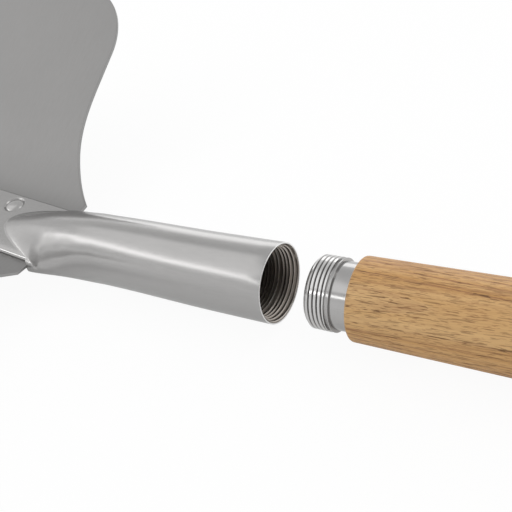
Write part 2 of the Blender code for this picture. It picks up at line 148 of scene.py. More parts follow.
# the handle, from the mouth towards the grip
FERRULE_OUT = 0.0153
RELIEF_START = 0.0228
THREAD_END = 0.0245
SHAFT_START = 0.0307
THREAD_DEPTH = 0.00088
NECK_RADIUS = 0.0119
FERRULE_BORE = 0.0102
FERRULE_FLOOR = 0.0028          # thickness of the cup's floor
COUNTERSINK = 0.0050            # radius
SCREW_OUT = FERRULE_OUT + FIT_GAP
SCREW_SHANK = 0.00225           # radius
SCREW_HOLE = SCREW_SHANK + FIT_GAP
SCREW_HEAD = 0.0044             # radius
SCREW_LENGTH = 0.036
SHAFT_RADIUS = 0.01465
FRONT_TENON = FERRULE_BORE - FIT_GAP
GRIP_TENON = 0.0100             # radius
SEAT_DEPTH = 0.0085             # the seat for the shaft's shoulder lies this far short of the grip's axis
MORTISE_DEPTH = 0.0090          # the mortise ends this far past that axis
BORE_GAP = 0.0001               # the grip's holes are wider by this much
PIN_RADIUS, PIN_HALF_LENGTH = 0.0025, 0.0164

# grain of the wood
RING_WIDTH = 0.0017
HEART_ACROSS, HEART_BELOW = 0.037, 0.038            # the log's heart from the shaft's axis
GRAIN_SLANT = 0.045             # radians between the grain and the shaft's axis
SLANT_UP, SLANT_ACROSS = 0.77, 0.64                 # direction in which the bands lie one over the other
PALE_START, PALE_END = (-0.0026, 0.0006), (0.0124, 0.0146)      # the pale band's edges that way

# camera
CAMERA_LENS = 43.62             # mm
CAMERA_PLACE = (0.10293, -0.12994, 0.14924)         # beyond the mouth, to the side, over the axis
CAMERA_TURN = (49.6308, 14.2269, 28.4149)           # degrees about X, Y and Z


def place(along, across, up):
    """Point from its distance beyond the mouth, its side and its height over the axis."""
    return Vector((MOUTH_X + along, across, AXIS_Z + up))


ALONG_X = Matrix.Rotation(math.radians(90), 4, "Y")
ON_AXIS = Matrix.Translation(place(0, 0, 0)) @ ALONG_X


# ------------------------------------------------------------ settings
def length_setting(name, description, default):
    return FloatProperty(name=name, description=description, default=default, unit="LENGTH")


def share_setting(name, description, default):
    return FloatProperty(name=name, description=description, default=default, subtype="FACTOR")


def colour_setting(name, description, default):
    return FloatVectorProperty(name=name, description=description, default=default, subtype="COLOR", size=3)


class SpadeSizes(PropertyGroup):
    tube_wall: length_setting("Tube Wall", "Wall of the socket tube", 0.0012)
    sheet: length_setting("Sheet", "Thickness of the blade", 0.0012)
    edge_round: length_setting("Edge Round", "Rounding of the sheet's edges", 0.00022)
    dimple_radius: length_setting("Dimple Radius", "Outer radius of the dimple round a rivet", 0.0050)
    dimple_depth: length_setting("Dimple Depth", "Depth of the dimple round a rivet", 0.0011)
    pitch: length_setting("Thread Pitch", "Distance from one turn to the next", 0.0015)
    crest: length_setting("Thread Radius", "Radius of the male thread's crest", 0.0130)
    thread_phase: length_setting("Thread Start", "Where a crest of the male thread begins", 0.00096)
    facets: IntProperty(name="Facets", description="Facets round a turned piece", default=144)


class SpadeFinish(PropertyGroup):
    steel: colour_setting("Steel", "Reflected colour of the steel", (0.405, 0.40, 0.395))
    # paler tone of cut steel, also used as the painted highlight on edges and thread crests
    cut_steel_and_highlight: colour_setting("Cut Steel", "Colour of a machined or sheared edge", (0.86, 0.855, 0.85))
    steel_gloss: share_setting("Tube Roughness", "Roughness of the tube and tang", 0.24)
    blade_gloss: share_setting("Blade Roughness", "Roughness of the blade", 0.34)
    wood: colour_setting("Wood", "Pale colour of the wood", (0.68, 0.43, 0.188))
    wood_dark: colour_setting("Wood Lines", "Dark colour of the grain", (0.29, 0.130, 0.045))
    wood_band: colour_setting("Wood Bands", "Warm colour of the darker bands", (0.505, 0.264, 0.076))
    floor: colour_setting("Floor", "Colour of the floor", (0.90, 0.90, 0.90))


# ------------------------------------------------------------ shader helpers
class Link:
    """A shader socket. Used in an expression, it adds Math nodes."""

    def __init__(self, tree, socket):
        self.tree = tree
        self.socket = socket

    def _maths(self, operation, *values):
        return self.tree.add("ShaderNodeMath", {"operation": operation}, dict(enumerate(values)))

    def __add__(self, other):
        return self._maths("ADD", self, other)

    def __sub__(self, other):
        return self._maths("SUBTRACT", self, other)

    def __mul__(self, other):
        return self._maths("MULTIPLY", self, other)

    def __truediv__(self, other):
        return self._maths("DIVIDE", self, other)

    def __pow__(self, other):
        return self._maths("POWER", self, other)

    def __rsub__(self, other):
        return self._maths("SUBTRACT", other, self)

    __radd__ = __add__
    __rmul__ = __mul__

    def fraction(self):
        return self._maths("FRACT", self)

    def least(self, other):
        return self._maths("MINIMUM", self, other)

    def step(self, low, high):
        """Ease from 0 at low to 1 at high."""
        return self.tree.add("ShaderNodeMapRange", {"interpolation_type": "SMOOTHSTEP", "clamp": True},
                             {"Value": self, "From Min": low, "From Max": high})


class Tree:
    """Builds the nodes of one material or of the world."""

    def __init__(self, node_tree):
        self.tree = node_tree

    def add(self, kind, settings=None, inputs=None, output=0):
        """Adds a node, sets its settings, then the values or links of its sockets."""
        node = self.tree.nodes.new(kind)
        for key, value in (settings or {}).items():
            setattr(node, key, value)
        for key, value in (inputs or {}).items():
            self.feed(node.inputs[key], value)
        return Link(self, node.outputs[output])

    def feed(self, socket, value):
        if isinstance(value, Link):
            self.tree.links.new(value.socket, socket)
        elif hasattr(value, "__len__") and len(value) == 3 and socket.type == "RGBA":
            socket.default_value = (*value, 1.0)
        else:
            socket.default_value = value

    def mix(self, factor, first, second):
        """Blend of two colours."""
        return self.add("ShaderNodeMix", {"data_type": "RGBA"}, {0: factor, 6: first, 7: second}, output=2)

    def noise(self, vector, scale, detail=2.0, roughness=0.5):
        return self.add("ShaderNodeTexNoise", {}, {"Vector": vector, "Scale": scale, "Detail": detail,
                                                   "Roughness": roughness})

    def parts(self, vector):
        """The X, Y and Z of a vector."""
        node = self.add("ShaderNodeSeparateXYZ", {}, {0: vector}).socket.node
        return [Link(self, output) for output in node.outputs]

    def stored(self, name):
        """A number stored on the mesh's vertices."""
        return self.add("ShaderNodeAttribute", {"attribute_type": "GEOMETRY", "attribute_name": name},
                        output=2)


def new_material(name):
    """A material with its Principled shader. Returns it, its tree and the shader."""
    mat = bpy.data.materials.new(name)
    mat.use_nodes = True
    return mat, Tree(mat.node_tree), mat.node_tree.nodes["Principled BSDF"]


def stretched(tree, scale=(1, 1, 1), rotation=(0, 0, 0)):
    """Object coordinates, turned and stretched for a pattern."""
    spot = tree.add("ShaderNodeTexCoord", output="Object")
    return tree.add("ShaderNodeMapping", {}, {"Vector": spot, "Rotation": rotation, "Scale": scale})


# ------------------------------------------------------------ materials
def steel_material(name, gloss, tint=(1, 1, 1), grain=(60, 420, 420), shade=None):
    """Satin stainless steel: faint drawn lines and small clouds. Shade paints highlight and shade into the
    colour of some areas.
    """
    finish = bpy.context.scene.spade_finish
    mat, tree, shader = new_material(name)
    lines = tree.noise(stretched(tree, grain), 4.0, 3.0, 0.6)
    clouds = tree.noise(stretched(tree), 22.0, 3.0, 0.55)
    pits = tree.noise(stretched(tree), 2600.0, 1.0)
    colour = [value * share for value, share in zip(finish.steel, tint)]
    pale = [min(1.0, value * 1.13) for value in colour]
    deep = [value * 0.87 for value in colour]
    satin = tree.mix(clouds * 0.5 + lines * 0.5, deep, pale)
    if shade:
        satin = shade(tree, satin)
    tree.feed(shader.inputs["Base Color"], satin)
    tree.feed(shader.inputs["Roughness"], gloss + (lines - 0.5) * 0.05 + (clouds - 0.5) * 0.04)
    shader.inputs["Metallic"].default_value = 1.0
    bump = tree.add("ShaderNodeBump", {}, {"Strength": 0.16, "Distance": 0.00004,
                                           "Height": lines * 0.7 + pits * 0.3})
    tree.feed(shader.inputs["Normal"], bump)
    return mat


def cut_edge_highlight(share):
    """Paints a sheet's cut edges, marked by the rim attribute, with the paler tone of cut steel and a
    painted highlight.
    """
    def shade(tree, satin):
        edge = tree.stored("rim").step(0.70, 0.95)
        return tree.mix(edge * share, satin, bpy.context.scene.spade_finish.cut_steel_and_highlight)
    return shade


def thread_highlight_and_shade(bright, dark):
    """Paints a highlight on a thread's crests and shade in its roots, marked by the height attribute."""
    def shade(tree, satin):
        height = tree.stored("height")
        # painted highlight on the crests
        satin = tree.mix(height.step(0.80, 1.0) * bright, satin, bpy.context.scene.spade_finish.cut_steel_and_highlight)
        # painted shade in the roots, where the grooves lie in shadow
        return tree.mix((1 - height.step(0.0, 0.45)) * dark, satin, (0.02, 0.018, 0.016))
    return shade


def wood_material(name, crosswise=False):
    """Open-pored hardwood cut from a log whose heart lies beyond the far side.

    Its grain runs along X at a slight slant, or straight along Y in a piece that lies crosswise.
    A pale band lies between two darker ones.
    """
    finish = bpy.context.scene.spade_finish
    mat, tree, shader = new_material(name)
    turn = (0, GRAIN_SLANT * SLANT_UP, -GRAIN_SLANT * SLANT_ACROSS)
    if crosswise:
        turn = (0, 0, math.radians(-90))
    base = stretched(tree, rotation=turn)
    wander = tree.add("ShaderNodeTexNoise", {}, {
        "Vector": tree.add("ShaderNodeMapping", {}, {"Vector": base, "Scale": (7, 26, 26)}),
        "Scale": 1.0, "Detail": 2.0}, output="Color")
    bent = tree.add("ShaderNodeMix", {"data_type": "VECTOR"}, {0: 0.0042, 4: base, 5: wander}, output=1)
    _, y, z = tree.parts(bent)

    def pattern(along, across, detail=1.0, roughness=0.5):
        """Noise drawn out along the grain, with this many features per metre along and across."""
        drawn = tree.add("ShaderNodeMapping", {}, {"Vector": bent, "Scale": (along, across, across)})
        return tree.noise(drawn, 1.0, detail, roughness)

    off_y, off_z = y - HEART_ACROSS, z - (AXIS_Z - HEART_BELOW)
    radius = (off_y * off_y + off_z * off_z) ** 0.5
    ring = (radius / RING_WIDTH).fraction()
    early = 1 - ring.step(0.0, 0.34)                  # porous wood at the start of a ring
    late = ring.step(0.50, 0.97) * (1 - ring.step(0.97, 1.0))     # dense wood at its end

    strands = pattern(18, 900, 4.0, 0.62)
    fibre = pattern(110, 2600, 2.0)
    pores = pattern(180, 2200).step(0.575, 0.61) * (0.45 + early * 0.55)
    fine_pores = pattern(360, 3600).step(0.59, 0.66)
    streak = pattern(7, 660, 2.0)
    patches = pattern(12, 140, 2.0)
    level = (z - AXIS_Z) * SLANT_UP + y * SLANT_ACROSS
    banded = 1 - level.step(*PALE_START) + level.step(*PALE_END)

    warmth = (patches.step(0.40, 0.72) * 0.35 + late * 0.25 + banded * 0.50).least(1.0)
    colour = tree.mix(warmth, finish.wood, finish.wood_band)
    lines = early * (0.35 + strands.step(0.38, 0.62) * 0.65) * (0.40 + banded * 0.60)
    colour = tree.mix(lines, colour, finish.wood_dark)
    colour = tree.mix(streak.step(0.56, 0.66) * (0.22 + banded * 0.30), colour, finish.wood_dark)
    colour = tree.mix(fibre.step(0.30, 0.75) * 0.20, colour, finish.wood_dark)
    colour = tree.mix(fine_pores * 0.60, colour, finish.wood_dark)
    colour = tree.mix(pores * 0.90, colour, [value * 0.40 for value in finish.wood_dark])
    tree.feed(shader.inputs["Base Color"], colour)
    tree.feed(shader.inputs["Roughness"], 0.46 + fibre * 0.10 + pores * 0.25)
    height = (1 - pores) * 0.6 + strands * 0.25 + fibre * 0.15
    tree.feed(shader.inputs["Normal"], tree.add("ShaderNodeBump", {}, {
        "Strength": 0.35, "Distance": 0.00012, "Height": height}))
    return mat


# ------------------------------------------------------------ shape of the head
def smooth(value, low, high):
    share = min(1.0, max(0.0, (value - low) / (high - low)))
    return share * share * (3 - 2 * share)


def spine_height(station):
    """Top face of the blade on its middle line, over the tube's axis."""
    curl = max(0.0, station - CURL_STATION)
    return SHEET_RISE + LIFT_SLOPE * (station - BASE_STATION) + CURL_RATE * curl * curl


def dish_height(side):
    """Rise of the sheet at a half-width: flat, then an arc, then straight."""
    run = abs(side) - DISH_START
    if run <= 0:
        return 0.0
    arc_run = DISH_RADIUS * math.sin(DISH_ANGLE)
    if run < arc_run:
        return DISH_RADIUS - math.sqrt(DISH_RADIUS ** 2 - run ** 2)
    return DISH_RADIUS * (1 - math.cos(DISH_ANGLE)) + math.tan(DISH_ANGLE) * (run - arc_run)


def top_station(side):
    """Upper outline of the blade: base edge, swept fillet, shoulder, round corner."""
    if side <= BASE_HALF_WIDTH:
        return BASE_STATION
    if side <= SHOULDER_INNER:
        left = (SHOULDER_INNER - side) / (SHOULDER_INNER - BASE_HALF_WIDTH)
        return SHOULDER_STATION - (SHOULDER_STATION - BASE_STATION) * left ** SHOULDER_SWEEP
    run = min(max(side - SHOULDER_OUTER, 0.0), CORNER_RADIUS)
    return SHOULDER_STATION + CORNER_RADIUS - math.sqrt(CORNER_RADIUS ** 2 - run ** 2)


def point_station(side):
    """Lower outline of the blade: a rounded point."""
    share = min(1.0, side / BLADE_HALF_WIDTH)
    return SIDE_END + (POINT_STATION - SIDE_END) * (1 - share ** POINT_POWER) ** SIDE_POWER


def tang_top(station, wall):
    return spine_height(station) + FIT_GAP + 2 * wall


def blend(first, second, share):
    return first + (second - first) * share


def pressed_section(station, wall):
    """Half-width, side level, flange, ridge and belly, the ridge's half-width, the sides' squareness."""
    rise = TUBE_RISE * smooth(station, RISE_START, RISE_END)
    pressed = smooth(station, PRESS_START, BASE_STATION)
    sunk = smooth(station, BELLY_START, BODY_END)
    top = tang_top(station, wall)
    half_width = blend(TUBE_RADIUS, BODY_HALF_WIDTH, pressed)
    level = blend(rise, BODY_LEVEL, pressed)
    flange = (top - level) * pressed
    bent = min(1.0, max(0.0, (station - CROWN_START) / (CROWN_STRAIGHT - CROWN_START)))
    bend_run = (CROWN_STRAIGHT - CROWN_START) * bent * bent / 2 + max(0.0, station - CROWN_STRAIGHT)
    crown = TUBE_RADIUS + rise - CROWN_SLOPE * bend_run
    ridge = max(0.0, crown - level - flange)
    belly = blend(TUBE_RADIUS - rise + level, level - BODY_BOTTOM, sunk)
    slimmed = smooth(station, NARROW_START, NARROW_END) * (1 - smooth(station, NARROW_FADE, BASE_STATION))
    scale = 1 - TUBE_NARROWING * slimmed / TUBE_RADIUS
    # past the base edge the body closes quickly onto the flat tang
    closed = min(1.0, max(0.0, (station - BODY_END) / BODY_ROUND + 1))
    shut = 1 - math.sqrt(1 - closed ** 2)
    half_width = blend(half_width * scale, TANG_HALF_WIDTH, shut)
    level = blend(level, top - wall, shut)
    flange = blend(flange, wall, shut)
    tongue = math.sqrt(RIDGE_WIDENING * max(TINY, RIDGE_TIP - station))
    ridge_half = blend(half_width, min(tongue, half_width), smooth(station, NECK_START, BASE_STATION))
    squareness = blend(ROUND_SIDE, BOX_SIDE, smooth(station, SIDE_START, BASE_STATION))
    squareness = blend(squareness, TANG_SIDE, shut)
    return half_width, level, flange, ridge * scale, belly * (1 - shut) * scale, ridge_half, squareness


def dimple(station, across, sizes):
    """How far the tang's face is pressed in near a rivet."""
    depth = 0.0
    for at, side in RIVETS.values():
        distance = math.hypot((station - at) * math.sqrt(1 + LIFT_SLOPE ** 2), across - side)
        wall_share = min(1.0, max(0.0, (distance - sizes.dimple_radius) / DIMPLE_WALL + 1))
        depth += sizes.dimple_depth * (1 - wall_share ** 2)
    return depth


def section_point(station, angle, inset, sizes):
    """Point round the tube at a station, from +Y over the top. Inset gives the hollow."""
    wall = sizes.tube_wall
    half_width, level, flange, ridge, belly, ridge_half, squareness = pressed_section(station, wall)
    keenness = blend(ROUND_TOP, RIDGE_TOP, smooth(station, RIDGE_START, RIDGE_SHAPED))
    keenness = blend(keenness, KEEN_TOP, smooth(station, KEEN_START, KEEN_END))
    end_run = (station - (TANG_END - TANG_ROUND)) / TANG_ROUND
    if end_run > 0:
        half_width *= math.sqrt(max(0.0, 1 - end_run ** 2))
    share = math.cos(angle)
    across = half_width * share
    if station > BODY_END and math.sin(angle) < 0:
        squareness = TANG_UNDERSIDE
    edge = (1 - abs(share) ** squareness) ** 0.5
    if math.sin(angle) >= 0:
        inside = max(0.0, 1 - (across / ridge_half) ** 2)
        up = flange * edge + ridge * inside ** keenness
        up *= (flange + ridge - inset) / (flange + ridge)
        if not inset:
            up -= dimple(station, across, sizes)
    elif station < BODY_END:
        roundness = min(1.0, belly / BELLY_ROUND)
        up = -blend(wall * edge, belly * math.sqrt(1 - share * share), roundness)
        up *= (belly - inset) / belly if inset else 1.0
    else:
        up = -(flange + FIT_GAP - TOUCH) * edge
    if station > BODY_END:
        across -= math.copysign(SEAM_DEPTH * (1 - smooth(abs(up), SEAM_FLOOR, SEAM_LIP)), across)
    across *= (half_width - inset) / half_width
    return place(-station, across, level + up)


# ------------------------------------------------------------ mesh helpers
def as_object(bm, name):
    """Makes the mesh an object at the origin."""
    mesh = bpy.data.meshes.new(name)
    bm.to_mesh(mesh)
    bm.free()
    obj = bpy.data.objects.new(name, mesh)
    bpy.context.scene.collection.objects.link(obj)
    return obj


def finished(bm, name, mat, body, node, sharp=35):
    """Makes the mesh a piece that stands for a node of the frame."""
    bmesh.ops.remove_doubles(bm, verts=bm.verts, dist=TINY)
    bmesh.ops.recalc_face_normals(bm, faces=bm.faces)
    obj = as_object(bm, name)
    obj.data.shade_smooth()
    obj.data.set_sharp_from_angle(angle=math.radians(sharp))
    obj.data.materials.append(mat)
    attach(obj, body)
    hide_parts(node)
    return obj


def along_axis(vert):
    return vert.co.x - MOUTH_X


def axis_radius(vert):
    return math.hypot(vert.co.y, vert.co.z - AXIS_Z)


def border(bm, along):
    """Boundary edges at a distance along the tube's axis."""
    return [edge for edge in bm.edges
            if edge.is_boundary and all(abs(along_axis(vert) - along) < TINY for vert in edge.verts)]


def set_ring(vert, radius, along):
    """Moves a vertex to a radius and a distance along the tube's axis."""
    now = axis_radius(vert)
    vert.co.y *= radius / now
    vert.co.z = AXIS_Z + (vert.co.z - AXIS_Z) * radius / now
    vert.co.x = MOUTH_X + along


def verts_in(geometry):
    return [part for part in geometry if isinstance(part, bmesh.types.BMVert)]


def extend(bm, loop, steps):
    """Extrudes an edge loop through (radius, distance along) steps and returns the last loop."""
    for radius, along in steps:
        grown = bmesh.ops.extrude_edge_only(bm, edges=loop)["geom"]
        for vert in verts_in(grown):
            set_ring(vert, radius, along)
        loop = [part for part in grown if isinstance(part, bmesh.types.BMEdge) and part.is_boundary]
    return loop


def spun(profile, matrix, steps):
    """A profile of (radius, height) points turned about local Z."""
    bm = bmesh.new()
    verts = [bm.verts.new((radius, 0, height)) for radius, height in profile]
    edges = [bm.edges.new(pair) for pair in zip(verts, verts[1:])]
    bmesh.ops.spin(bm, geom=verts + edges, cent=(0, 0, 0), axis=(0, 0, 1), angle=2 * math.pi,
                   steps=steps, use_merge=True)
    bmesh.ops.remove_doubles(bm, verts=bm.verts, dist=TINY)
    bmesh.ops.transform(bm, matrix=matrix, verts=bm.verts)
    return bm


def thread_profile(pitch, crest, root, start, slack):
    """One pitch of thread as (along, radius): flat crest, flank, root, flank, all a little rounded.

    Slack widens the crest and narrows the root by this share of the pitch at either side.
    """
    shares = [(-slack, 0.96), (0.025 - slack, 1.0), (0.535 + slack, 1.0), (0.56 + slack, 0.96),
              (0.725 + slack, 0.06), (0.74 + slack, 0.0), (0.82 - slack, 0.0), (0.835 - slack, 0.06),
              (1.0 - slack, 0.96)]
    return [(start + share * pitch, root + (crest - root) * height) for share, height in shares]


def threaded_band(profile, pitch, start, end, facets):
    """Spins one turn of a helix, repeats it and trims it square between two distances along."""
    bm = bmesh.new()
    shift = start - (start - profile[0][0]) % pitch - pitch - profile[0][0]
    verts = [bm.verts.new(place(along + shift, 0, radius)) for along, radius in profile]
    edges = [bm.edges.new(pair) for pair in zip(verts, verts[1:])]
    bmesh.ops.spin(bm, geom=verts + edges, cent=place(0, 0, 0), axis=(1, 0, 0),
                   dvec=(pitch / facets, 0, 0), angle=2 * math.pi, steps=facets, use_merge=False)
    turn = bm.verts[:] + bm.edges[:] + bm.faces[:]
    for i in range(1, int((end - start) / pitch) + 3):
        made = bmesh.ops.duplicate(bm, geom=turn)["geom"]
        bmesh.ops.translate(bm, vec=(pitch * i, 0, 0), verts=verts_in(made))
    bmesh.ops.remove_doubles(bm, verts=bm.verts, dist=2 * TINY)
    for along, normal in ((start, (-1, 0, 0)), (end, (1, 0, 0))):
        bmesh.ops.bisect_plane(bm, geom=bm.verts[:] + bm.edges[:] + bm.faces[:], dist=1e-7,
                               plane_co=place(along, 0, 0), plane_no=normal, clear_outer=True)
    return bm


def mark_height(bm, root, crest):
    """Stores how high each vertex of a thread stands, from 0 at the root to 1 at the crest."""
    height = bm.verts.layers.float.new("height")
    for vert in bm.verts:
        vert[height] = (axis_radius(vert) - root) / (crest - root)


def carve(obj, bm_cutter):
    """Cuts a solid out of an object and applies the cut."""
    bmesh.ops.recalc_face_normals(bm_cutter, faces=bm_cutter.faces)
    cutter = as_object(bm_cutter, "cutter")
    cut = obj.modifiers.new("Cut", "BOOLEAN")
    cut.operation = "DIFFERENCE"
    cut.solver = "EXACT"
    cut.object = cutter
    bpy.context.view_layer.update()
    result = bpy.data.meshes.new_from_object(obj.evaluated_get(bpy.context.evaluated_depsgraph_get()))
    obj.modifiers.remove(cut)
    obj.data = result
    shape = cutter.data
    bpy.data.objects.remove(cutter)
    bpy.data.meshes.remove(shape)


def rod(radius, length, matrix, segments=64):
    """A closed cylinder centred on its matrix, its axis along local Z."""
    bm = bmesh.new()
    bmesh.ops.create_cone(bm, cap_ends=True, segments=segments, radius1=radius, radius2=radius,
                          depth=length, matrix=matrix)
    return bm


# ------------------------------------------------------------ pieces
class SPADE_OT_blade(Operator):
    """Build the dished blade from a flat grid"""
    bl_idname = "spade.blade"
    bl_label = "Blade"

    def execute(self, context):
        sizes = context.scene.spade_sizes
        half, rows, corner = 100, 96, 64
        # columns of the grid, counted from the middle, and the half-widths that they reach
        knots = [(0, 0.0), (12, BASE_HALF_WIDTH), (46, SHOULDER_INNER), (corner, SHOULDER_OUTER)]

        def side_at(column):
            for (low, start), (high, end) in zip(knots, knots[1:]):
                if column <= high:
                    return start + (end - start) * (column - low) / (high - low)
            turn = math.pi / 2 * (column - corner) / (half - corner)
            return SHOULDER_OUTER + CORNER_RADIUS * math.sin(turn)

        bm = bmesh.new()
        bmesh.ops.create_grid(bm, x_segments=2 * half, y_segments=rows, size=1)
        for vert in bm.verts:
            side = side_at(abs(vert.co.x) * half)
            # the rows lie closer together near the shoulder and the point
            share = (vert.co.y + 1) / 2
            run = blend(share, (1 - math.cos(math.pi * share)) / 2, 0.5)
            station = blend(top_station(side), point_station(side), run)
            side_now = math.copysign(side, vert.co.x)
            vert.co = place(-station, side_now, spine_height(station) + dish_height(side))
        if sum(face.normal.z for face in bm.faces) < 0:
            bmesh.ops.reverse_faces(bm, faces=bm.faces)
        rim = bm.verts.layers.float.new("rim")
        for vert in bm.verts:
            vert[rim] = 1.0 if vert.is_boundary else 0.0
        blade = as_object(bm, "blade_sheet")
        blade.data.shade_smooth()
        # the sheet's cut edges get a little painted highlight, beside the paler tone of cut steel
        blade.data.materials.append(steel_material(
            "blade_satin_steel", context.scene.spade_finish.blade_gloss,
            tint=(0.64, 0.64, 0.64), grain=(420, 40, 40), shade=cut_edge_highlight(0.12)))
        shell = blade.modifiers.new("Sheet", "SOLIDIFY")
        shell.thickness = sizes.sheet
        shell.offset = -1
        shell.use_even_offset = True
        edges = blade.modifiers.new("Edges", "BEVEL")
        edges.width = sizes.edge_round
        edges.segments = 2
        edges.limit_method = "ANGLE"
        edges.angle_limit = math.radians(50)
        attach(blade, "head")
        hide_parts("blade")
        return {"FINISHED"}


class SPADE_OT_socket_tube(Operator):
    """Build the socket tube with its pressed and dimpled tang"""
    bl_idname = "spade.socket_tube"
    bl_label = "Socket Tube and Tang"

    def rows(self, wall):
        """Stations and insets of the loft, from the tang's end to the mouth and back up the hollow."""
        round_part = [0.006 * i for i in range(1, 16)]
        fold, front_rivets, rear_rivet = (PRESS_START - 0.002, 0.1265), (0.143, 0.1545), (0.198, 0.2095)
        last = TANG_END - 0.0001
        # start, end and spacing of the rows of each stretch
        stretches = [(*fold, 0.00045), (fold[1], front_rivets[0], 0.0007), (*front_rivets, 0.00026),
                     (front_rivets[1], rear_rivet[0], 0.0016), (*rear_rivet, 0.00026),
                     (rear_rivet[1], TANG_END - 0.004, 0.0012), (TANG_END - 0.004, last, 0.0003)]
        outer = list(round_part)
        for low, high, step in stretches:
            count = round((high - low) / step)
            outer += [blend(low, high, i / count) for i in range(count)]
        # the body's end is a quarter round
        outer = [row for row in outer if not BODY_END - BODY_ROUND < row <= BODY_END]
        outer += [BODY_END - BODY_ROUND * (1 - math.sin(math.pi / 2 * i / 10)) for i in range(11)]
        outer += [BODY_END + 2 * TOUCH, last]
        turns = [math.pi / 2 * i / 4 for i in range(5)]
        rim = [(MOUTH_LIP * (1 - math.sin(turn)), MOUTH_LIP * (1 - math.cos(turn))) for turn in turns]
        rim += [(0.0, MOUTH_WALL - MOUTH_LIP), (MOUTH_LIP * 0.7, MOUTH_WALL),
                (MOUTH_DEPTH - MOUTH_BEVEL, MOUTH_WALL), (MOUTH_DEPTH, wall)]
        hollow = [(row, wall) for row in (*round_part, 0.095, 0.100, HOLLOW_END)]
        return [(row, 0.0) for row in sorted(outer, reverse=True)] + rim + hollow

    def execute(self, context):
        sizes = context.scene.spade_sizes
        rows = self.rows(sizes.tube_wall)
        bm = bmesh.new()
        rim = bm.verts.layers.float.new("rim")
        bmesh.ops.create_grid(bm, x_segments=256, y_segments=len(rows) - 1, size=1)
        for vert in bm.verts:
            station, inset = rows[round((vert.co.y + 1) / 2 * (len(rows) - 1))]
            turn = math.pi * (vert.co.x + 1)
            # the mouth's cut rim gets the paler tone of cut steel and painted highlight
            vert[rim] = 1.0 if station < MOUTH_LIP * 0.9 else 0.0
            # the tang's sheared sides get painted highlight, the lower of the two layers more of it
            if station > BODY_END and abs(math.cos(turn)) > 0.97:
                vert[rim] = 0.82 if math.sin(turn) > 0 else 1.0
            vert.co = section_point(station, turn, inset, sizes)
        bmesh.ops.remove_doubles(bm, verts=bm.verts, dist=TINY / 10)
        bmesh.ops.holes_fill(bm, edges=[e for e in bm.edges if e.is_boundary], sides=0)
        # the rim and the sheared sides take their painted highlight in full
        steel = steel_material("tube_satin_steel", context.scene.spade_finish.steel_gloss,
                               tint=(0.92, 0.92, 0.92), shade=cut_edge_highlight(1.0))
        finished(bm, "pressed_socket_tube", steel, "head", "socket_tube", sharp=50)
        return {"FINISHED"}


class SPADE_OT_rivets(Operator):
    """Build the three rivets in their dimples"""
    bl_idname = "spade.rivets"
    bl_label = "Tang Rivets"

    def execute(self, context):
        sizes = context.scene.spade_sizes
        steel = steel_material("rivet_steel", 0.22, grain=(200, 200, 200))
        tilt = Matrix.Rotation(math.atan(LIFT_SLOPE), 4, "Y")
        slant = math.cos(math.atan(LIFT_SLOPE))
        shank, button = 0.0021, 0.0040
        under = -(2 * sizes.tube_wall + sizes.sheet + FIT_GAP) * slant
        # the low dome in the dimple, the shank, then the button under the blade
        profile = [(0, 0.00045), (0.0015, 0.00039), (0.0025, 0.00025), (0.0032, 0.00008),
                   (0.0037, -0.00012), (0.0041, -0.00038), (0.00435, -0.00066), (0.0045, -0.0010),
                   (shank, -0.0016), (shank, under + 0.0002), (button, under + 0.0002),
                   (button, under - 0.0003), (button * 0.9, under - 0.0008),
                   (button * 0.62, under - 0.00115), (button * 0.3, under - 0.0013), (0, under - 0.00133)]
        for name, (station, across) in RIVETS.items():
            face = tang_top(station, sizes.tube_wall)
            matrix = Matrix.Translation(place(-station, across, face)) @ tilt
            finished(spun(profile, matrix, 64), name + "_formed", steel, "head", name,
                     sharp=40)
        return {"FINISHED"}


class SPADE_OT_bush(Operator):
    """Build the bush with its female thread"""
    bl_idname = "spade.bush"
    bl_label = "Threaded Bush"

    def execute(self, context):
        sizes = context.scene.spade_sizes
        minor, major = BUSH_BORE, sizes.crest + THREAD_PLAY
        outer = TUBE_RADIUS - sizes.tube_wall - TOUCH
        # the groove takes the male crest when the handle is screwed home
        profile = thread_profile(sizes.pitch, major, minor, sizes.thread_phase + SEATED_TRAVEL, 0.03)
        bm = threaded_band(profile, sizes.pitch, BUSH_BACK, BUSH_FRONT, sizes.facets)
        mark_height(bm, major, minor)
        collar = TUBE_RADIUS - MOUTH_WALL - TOUCH
        for vert in bm.verts:
            along = along_axis(vert)
            depth = BUSH_FRONT - along
            opened = 1 - smooth(depth, BUSH_OPEN, BUSH_OPEN + 0.0012)
            # share of the thread's depth that is kept, least at the mouth
            kept = blend(1.0, blend(0.3, 0.6, smooth(depth, 0.0, 0.003)), opened)
            widened = opened * BUSH_WIDENING + max(0.0, MOUTH_FLARE - 0.2 * depth)
            radius = major - (major - axis_radius(vert)) * kept + widened
            # a bevel at either end
            front_lead, back_lead = collar - 0.0001 - depth * 1.2, major - (along - BUSH_BACK) * 1.5
            set_ring(vert, max(radius, front_lead, back_lead), along)
        front, back = border(bm, BUSH_FRONT), border(bm, BUSH_BACK)
        last = extend(bm, front, [(collar, BUSH_FRONT), (collar, MOUTH_BEVEL + 0.0001 - MOUTH_DEPTH),
                                  (outer, -MOUTH_DEPTH), (outer, BUSH_BACK)])
        bmesh.ops.bridge_loops(bm, edges=last + back)
        # the female thread's crests get painted highlight, its roots painted shade
        steel = steel_material("bush_steel", 0.34, tint=(1.10, 1.00, 0.90), grain=(900, 60, 60),
                               shade=thread_highlight_and_shade(0.6, 0.5))
        finished(bm, "bush_with_thread", steel, "head", "threaded_bush")
        return {"FINISHED"}


